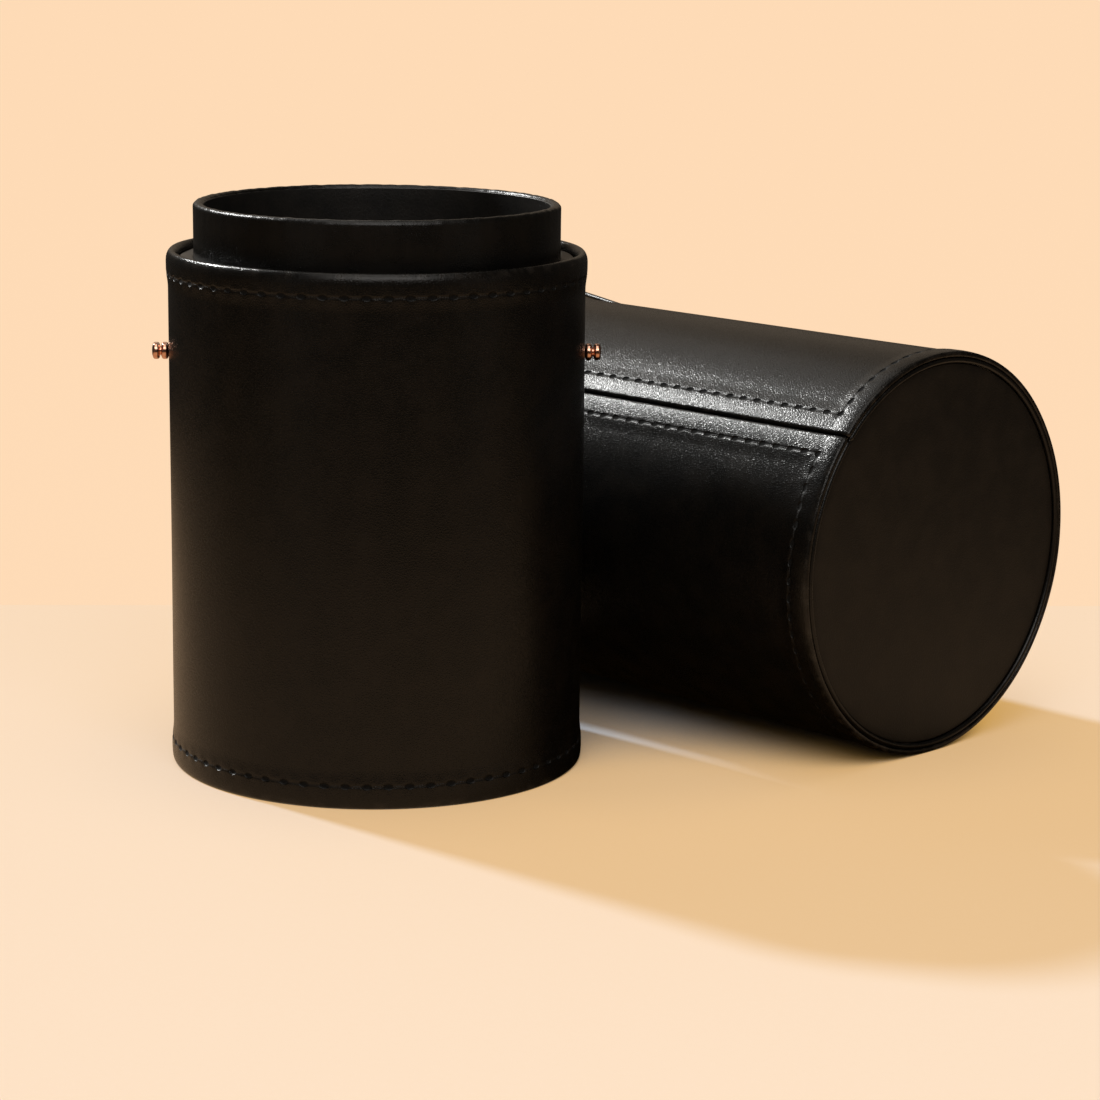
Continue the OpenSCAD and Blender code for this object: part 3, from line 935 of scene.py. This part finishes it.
def stitchTree():
    tree = bpy.data.node_groups.new("stitchRow", "GeometryNodeTree")
    tree.interface.new_socket("Geometry", in_out="INPUT", socket_type="NodeSocketGeometry")
    for label in ("Pitch", "Cover", "Thread", "Dip", "Rise", "Slant"):
        tree.interface.new_socket(label, in_out="INPUT", socket_type="NodeSocketFloat")
    tree.interface.new_socket("Seed", in_out="INPUT", socket_type="NodeSocketInt")
    tree.interface.new_socket("Geometry", in_out="OUTPUT", socket_type="NodeSocketGeometry")
    board = Board(tree)
    given = tree.nodes.new("NodeGroupInput")
    value = {socket.name: Wire(board, socket) for socket in given.outputs if socket.name}

    reach = value["Pitch"] * value["Cover"] * 0.5
    start = board.node("ShaderNodeCombineXYZ", {}, {"X": reach * -1.0, "Z": value["Dip"] * -1.0})
    crest = board.node("ShaderNodeCombineXYZ", {}, {"Z": value["Dip"] + value["Rise"] * 2.0})
    end = board.node("ShaderNodeCombineXYZ", {}, {"X": reach, "Z": value["Dip"] * -1.0})
    bow = board.node("GeometryNodeCurveQuadraticBezier", {},
                     {"Resolution": 7, "Start": start, "Middle": crest, "End": end})
    factor = board.node("GeometryNodeSplineParameter", {}, {}, "Factor")
    bow = board.node("GeometryNodeStoreNamedAttribute", {"data_type": "FLOAT", "domain": "POINT"},
                     {"Geometry": bow, "Name": "along", "Value": factor})
    middleness = 1 - board.sum("ABSOLUTE", factor * 2.0 - 1.0)
    fullness = 0.62 + 0.38 * board.sum("POWER", middleness, 0.5)
    bow = board.node("GeometryNodeSetCurveRadius", {}, {"Curve": bow, "Radius": fullness})
    ring = board.node("GeometryNodeCurvePrimitiveCircle", {}, {"Resolution": 7, "Radius": value["Thread"]})
    aboutFactor = board.node("GeometryNodeSplineParameter", {}, {}, "Factor")
    ring = board.node("GeometryNodeStoreNamedAttribute", {"data_type": "FLOAT", "domain": "POINT"},
                      {"Geometry": ring, "Name": "about", "Value": aboutFactor})
    stitch = board.node("GeometryNodeCurveToMesh", {}, {"Curve": bow, "Profile Curve": ring, "Fill Caps": True})

    line = board.node("GeometryNodeMeshToCurve", {}, {"Mesh": value["Geometry"]})
    line = board.node("GeometryNodeResampleCurve", {"mode": "LENGTH"}, {"Curve": line, "Length": value["Pitch"]})
    tangent = board.node("GeometryNodeInputTangent")
    outward = board.node("ShaderNodeVectorMath", {"operation": "MULTIPLY"},
                         {0: board.node("GeometryNodeInputPosition"), 1: (1, 1, 0)})
    facing = board.node("FunctionNodeAlignRotationToVector", {"axis": "X"}, {"Vector": tangent})
    facing = board.node("FunctionNodeAlignRotationToVector", {"axis": "Z", "pivot_axis": "X"},
                        {"Rotation": facing, "Vector": outward})
    placed = board.node("GeometryNodeInstanceOnPoints", {},
                        {"Points": line, "Instance": stitch, "Rotation": facing})
    tilt = board.node("FunctionNodeRandomValue", {"data_type": "FLOAT"},
                      {2: value["Slant"] * -1.0, 3: value["Slant"], "Seed": value["Seed"]}, 1)
    turn = board.node("ShaderNodeCombineXYZ", {}, {"Z": tilt})
    placed = board.node("GeometryNodeRotateInstances", {},
                        {"Instances": placed, "Rotation": turn, "Local Space": True})
    real = board.node("GeometryNodeRealizeInstances", {}, {"Geometry": placed})
    real = board.node("GeometryNodeSetMaterial", {}, {"Geometry": real, "Material": thread})
    board.node("NodeGroupOutput", {}, {"Geometry": real})
    return tree


stitches = stitchTree()


def ringLine(z, rows, radius):  # half a stitch short at both ends, so that stitches sit between the needle holes
    start = rows["seamInset"] + rows["roundPitch"] / 2
    stop = rows["girth"] - start
    turns = [
        math.pi / 2 + (start + (stop - start) * i / 360) / rows["girth"] * 2 * math.pi for i in range(361)]
    return [(radius * math.cos(a), radius * math.sin(a), z) for a in turns], rows["roundPitch"]


def upLine(side, rows, radius):
    a = math.pi / 2 + side * rows["seamInset"] / rows["girth"] * 2 * math.pi
    low, high = rows["inset"] + rows["upPitch"] / 2, rows["height"] - rows["inset"] - rows["upPitch"] / 2
    x, y = radius * math.cos(a), radius * math.sin(a)
    return [(x, y, low + (high - low) * i / 8) for i in range(9)], rows["upPitch"]


def sew(name, lines, place):
    # lays each line's stitches at its own pitch, then makes them one plain mesh
    parts = []
    for number, (points, pitch) in enumerate(lines):
        mesh = bpy.data.meshes.new("sewing")
        mesh.from_pydata(points, [(i, i + 1) for i in range(len(points) - 1)], [])
        guide = bpy.data.objects.new("sewing", mesh)
        bpy.context.scene.collection.objects.link(guide)
        modifier = guide.modifiers.new("stitches", "NODES")
        modifier.node_group = stitches
        sizes = {label: stitchMake[label.lower()] for label in ("Cover", "Thread", "Dip", "Rise", "Slant")}
        sizes.update({"Pitch": pitch, "Seed": stitchMake["seed"] + number})
        for socket in stitches.interface.items_tree:
            if socket.in_out == "INPUT" and socket.name in sizes:
                modifier[socket.identifier] = sizes[socket.name]
        bpy.context.view_layer.update()
        made = bpy.data.meshes.new_from_object(guide.evaluated_get(bpy.context.evaluated_depsgraph_get()))
        parts.append(made)
        bpy.data.objects.remove(guide)
    work = bmesh.new()
    for made in parts:
        work.from_mesh(made)
    joined = bpy.data.meshes.new(name)
    work.to_mesh(joined)
    work.free()
    joined.transform(place)
    joined.materials.append(thread)
    joined.polygons.foreach_set("use_smooth", [True] * len(joined.polygons))
    piece = bpy.data.objects.new(name, joined)
    bpy.context.scene.collection.objects.link(piece)
    return piece


def wrapLines(height, pitch):
    rows = rowsFor(height, pitch)
    radius = stitchMake["rowR"]
    return [ringLine(rows["inset"], rows, radius), ringLine(height - rows["inset"], rows, radius),
            upLine(1, rows, radius), upLine(-1, rows, radius)]


def rootLines(side):
    # a box of stitches on the strap's sewn end, in the cap's own frame
    make = strapMake
    low = capHeight - make["rootTop"] + make["rootStitch"]
    high = capHeight - make["flex"] - make["rootStitch"]
    radius = make["rootR"] + make["thick"] + 0.02 * mm
    wide = (make["width"] / 2 - make["rootStitch"]) / radius
    lines = []
    for z in (low, high):
        pitch = evenPitch(2 * wide * radius, stitchMake["strapPitch"])
        trim = pitch / 2 / radius
        turns = [(0 if side > 0 else math.pi) - wide + trim + (2 * wide - 2 * trim) * i / 16 for i in range(17)]
        lines.append(([(radius * math.cos(a), radius * math.sin(a), z) for a in turns], pitch))
    for sign in (-1, 1):
        a = (0 if side > 0 else math.pi) + sign * wide
        pitch = evenPitch(high - low, stitchMake["strapPitch"])
        heights = [low + pitch / 2 + (high - low - pitch) * i / 8 for i in range(9)]
        lines.append(([(radius * math.cos(a), radius * math.sin(a), z) for z in heights], pitch))
    return lines


cupStitches = sew("cupStitches", wrapLines(cupHeight, wrapMake["cupPitch"]), cupPlace)
standFor(cupStitches, "cup", "thread", "rim_stitching", "foot_stitching", "cup_seam_stitching")
capStitches = sew("capStitches", wrapLines(capHeight, wrapMake["capPitch"]) + rootLines(1) + rootLines(-1), capPlace)
standFor(capStitches, "cap", "thread", "cap_mouth_stitching", "cap_end_stitching", "cap_seam_stitching",
         "strap_stitching_left", "strap_stitching_right")
print("stitches done")


# Table, backdrop, light and camera

stageMake = {
    "edgeLeft": (-0.1005, 0.1428), "edgeRight": (0.1953, 0.1403), "reach": 3.0,
    "tableGlow": (0.685, 0.380, 0.090, 1), "tableColour": (0.285, 0.370, 0.478, 1),
    "backGlow": (0.985, 0.700, 0.462, 1), "shadeReach": 0.06, "cardDrop": 0.0004,
}


def stageSheet(name, corners, z, finish):
    mesh = bpy.data.meshes.new(name)
    mesh.from_pydata([(x, y, z) for x, y in corners], [], [tuple(range(len(corners)))])
    mesh.materials.append(finish)
    piece = bpy.data.objects.new(name, mesh)
    bpy.context.scene.collection.objects.link(piece)
    return piece


def paperFinish(name, glow, colour):
    material, board, place = newFinish(name)
    tooth = board.noise(place, 700, 5, 0.7)
    openness = board.node("ShaderNodeAmbientOcclusion", {"samples": 24}, {"Distance": stageMake["shadeReach"]}, "AO")
    lit = board.ease(openness, 0.04, 0.45) * (0.86 + board.ease(openness, 0.45, 0.95) * 0.14)
    glow = board.mix(lit, (0.0, 0.0, 0.0, 1), glow)  # painted shade: the glow is darkened by ambient occlusion right under the leather, as a contact shadow
    tone = board.node("ShaderNodeBsdfPrincipled", {}, {
        "Base Color": board.mix(tooth * 0.12, colour, (0.2, 0.2, 0.2, 1)), "Roughness": 0.95,
        "Specular IOR Level": 0.0, "Emission Color": glow, "Emission Strength": 1.0})
    finishWith(board, tone)
    return material


def edgePoint(share):
    (x0, y0), (x1, y1) = stageMake["edgeLeft"], stageMake["edgeRight"]
    return x0 + (x1 - x0) * share, y0 + (y1 - y0) * share


reach = stageMake["reach"]
leftEnd, rightEnd = edgePoint(-reach / 0.3), edgePoint(reach / 0.3)
tablePaper = paperFinish("tablePaper", stageMake["tableGlow"], stageMake["tableColour"])
table = stageSheet("table", (leftEnd, (leftEnd[0], -reach), (rightEnd[0], -reach), rightEnd), 0, tablePaper)
backPaper = paperFinish("backPaper", stageMake["backGlow"], (0.0, 0.0, 0.0, 1))
backdrop = stageSheet(
    "backdrop", (leftEnd, rightEnd, (rightEnd[0], 2 * reach), (leftEnd[0], 2 * reach)), 0, backPaper)
for piece in (table, backdrop):
    piece.visible_glossy = False

glowMake = {
    "radius": 0.62, "near": 0.14, "far": 0.50, "colour": (1.0, 0.66, 0.39, 1), "strength": 0.58,
    "shadowFrom": -0.065, "shadowTo": -0.02, "shadowRight": 0.14,
}


def floorGlow():  # what the leather mirrors from the lit paper: bright close by, fading outward
    material, board, place = newFinish("floorGlow")
    away = board.node("ShaderNodeVectorMath", {"operation": "LENGTH"}, {0: place}, "Value")
    x = board.node("ShaderNodeSeparateXYZ", {}, {0: place}, "X")
    y = board.node("ShaderNodeSeparateXYZ", {}, {0: place}, "Y")
    # painted shade: the glow is cut out on the floor right of the cup, between cup and cap, where the mirrored paper
    # lies in shadow
    between = (board.ease(y, glowMake["shadowFrom"], glowMake["shadowTo"]) * board.ease(x, 0, 0.03)
               * (1 - board.ease(x, glowMake["shadowRight"] - 0.02, glowMake["shadowRight"] + 0.02)))
    fade = (1 - board.ease(away, glowMake["near"], glowMake["far"])) * glowMake["strength"] * (1 - between)
    finishWith(board, board.node("ShaderNodeEmission", {}, {"Color": glowMake["colour"], "Strength": fade}))
    turns = [i * math.pi / 24 for i in range(48)]
    ring = [(glowMake["radius"] * math.cos(a), glowMake["radius"] * math.sin(a)) for a in turns]
    card = stageSheet("floorGlow", ring, -stageMake["cardDrop"], material)
    card.visible_camera = False
    card.visible_diffuse = False
    card.visible_shadow = False


floorGlow()

lightMake = {
    "keyFrom": (-0.71, 0.70), "keyHeight": 38.0, "keyStrength": 2.9, "keyColour": (1.0, 1.0, 0.98), "keySpread": 4.0,
    "topStrength": 0.5, "topColour": (1.0, 0.95, 0.88),
    "overStrength": 1.2, "overColour": (1.0, 0.95, 0.88),
    "frontStrength": 5.5, "frontColour": (1.0, 0.96, 0.92),
    "backStrength": 0.42, "backColour": (1.0, 0.78, 0.56), "sideStrength": 0.12, "sideColour": (1.0, 0.93, 0.84),
    "sideAim": (0, 0, 0.06), "groupAim": (0.03, 0.0, 0.1),
}


def lamp(name, kind, place, aim, strength, colour, size=None):
    data = bpy.data.lights.new(name, kind)
    data.energy = strength
    data.color = colour
    if kind == "SUN":
        data.angle = math.radians(size)
    else:
        data.shape = "RECTANGLE"
        data.size, data.size_y = size
    made = bpy.data.objects.new(name, data)
    made.location = place
    made.rotation_mode = "QUATERNION"
    made.rotation_quaternion = (Vector(place) - Vector(aim)).to_track_quat("Z", "Y")
    made.visible_camera = False
    bpy.context.scene.collection.objects.link(made)


def softLamp(name, place, aim, kind, size):  # kind is the dictionary's name for its strength and colour
    lamp(name, "AREA", place, aim, lightMake[kind + "Strength"], lightMake[kind + "Colour"], size)


lift = math.radians(lightMake["keyHeight"])
keyX, keyY = lightMake["keyFrom"]
keyWay = Vector((keyX * math.cos(lift), keyY * math.cos(lift), math.sin(lift)))
lamp("key", "SUN", keyWay * 1.5, (0, 0, 0), lightMake["keyStrength"], lightMake["keyColour"], lightMake["keySpread"])
softLamp("frontLeft", (-0.75, -0.75, 0.25), lightMake["sideAim"], "side", (0.35, 0.7))
softLamp("frontRight", (0.95, -0.62, 0.25), lightMake["sideAim"], "side", (0.35, 0.7))
softLamp("topBack", (-0.22, 0.55, 0.72), (0.03, 0.03, 0.1), "top", (0.6, 0.4))
softLamp("topFront", (0.05, -0.85, 0.88), lightMake["groupAim"], "front", (1.0, 0.6))
softLamp("overhead", (0.0, -0.12, 0.8), lightMake["groupAim"], "over", (0.5, 0.5))
softLamp("backWall", (0.0, 1.0, 0.5), lightMake["groupAim"], "back", (0.9, 0.7))

world = bpy.data.worlds.new("room")
world.use_nodes = True
room = Board(world.node_tree)
seen = room.node("ShaderNodeLightPath", {}, {}, "Is Camera Ray")
dim = room.node("ShaderNodeBackground", {}, {"Color": (1.0, 0.86, 0.72, 1), "Strength": 0.035})
bright = room.node("ShaderNodeBackground", {}, {"Color": stageMake["backGlow"], "Strength": 1.0})
shown = room.node("ShaderNodeMixShader", {}, {0: seen, 1: dim, 2: bright})
room.node("ShaderNodeOutputWorld", {}, {"Surface": shown})
bpy.context.scene.world = world
bpy.context.scene.view_settings.view_transform = "Standard"

cameraMake = {
    "place": (0.0, -0.66532, 0.18951), "turn": 3.2707, "down": 12.1663, "tilt": 0.6890,
    "lens": 101.02, "sensor": 36.0,
}


def setCamera():
    turn, down, tilt = (math.radians(cameraMake[key]) for key in ("turn", "down", "tilt"))
    ahead = Vector((math.sin(turn) * math.cos(down), math.cos(turn) * math.cos(down), -math.sin(down)))
    right = Vector((math.cos(turn), -math.sin(turn), 0))
    upward = right.cross(ahead)
    tiltedRight = right * math.cos(tilt) + upward * math.sin(tilt)
    tiltedUp = upward * math.cos(tilt) - right * math.sin(tilt)
    data = bpy.data.cameras.new("camera")
    data.lens = cameraMake["lens"]
    data.sensor_width = cameraMake["sensor"]
    data.clip_start, data.clip_end = 0.01, 50
    made = bpy.data.objects.new("camera", data)
    columns = (tiltedRight, tiltedUp, -ahead, Vector(cameraMake["place"]))
    made.matrix_world = Matrix([[column[i] for column in columns] for i in range(3)] + [[0, 0, 0, 1]])
    bpy.context.scene.collection.objects.link(made)
    bpy.context.scene.camera = made


setCamera()
print("stage done")
